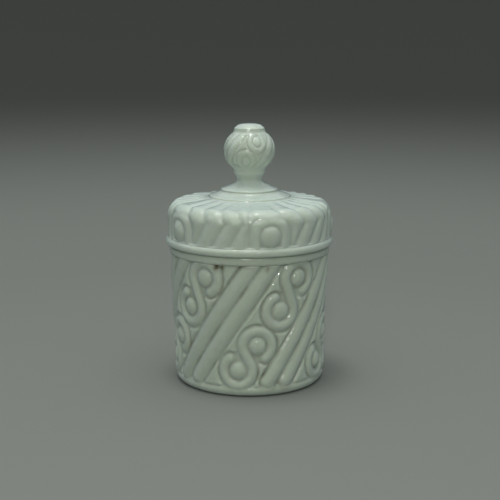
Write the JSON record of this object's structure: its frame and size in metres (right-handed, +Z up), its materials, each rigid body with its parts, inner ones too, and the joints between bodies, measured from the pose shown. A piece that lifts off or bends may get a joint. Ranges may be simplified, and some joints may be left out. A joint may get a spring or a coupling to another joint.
{
  "type": "lidded glass jar",
  "caption": "Round covered toilet jar in pressed opaline glass, with slanting ribs, scrolls and beads, and a lift-off lid with a ball finial.",
  "frame": {"origin": "middle of the foot, at the height that the jar stands on", "axes": "+Z up along the axis of the jar, -Y towards the front with one scroll pair facing it, +X to the right of the front"},
  "size_m": [0.09, 0.09, 0.1383],
  "materials": {
    "jar_glass": "fire-polished pressed opaline glass, pale grey green, glossy",
    "lid_glass": "fire-polished pressed opaline glass, pale grey green, glossy"
  },
  "bodies": {
    "jar": {"jar": "jar_glass"},
    "lid": {"lid": "lid_glass"}
  },
  "joints": [
    {"name": "lid_lift", "type": "slide", "parent": "jar", "child": "lid", "axis": [0, 0, 1], "range_m": [0, 0.08]}
  ]
}
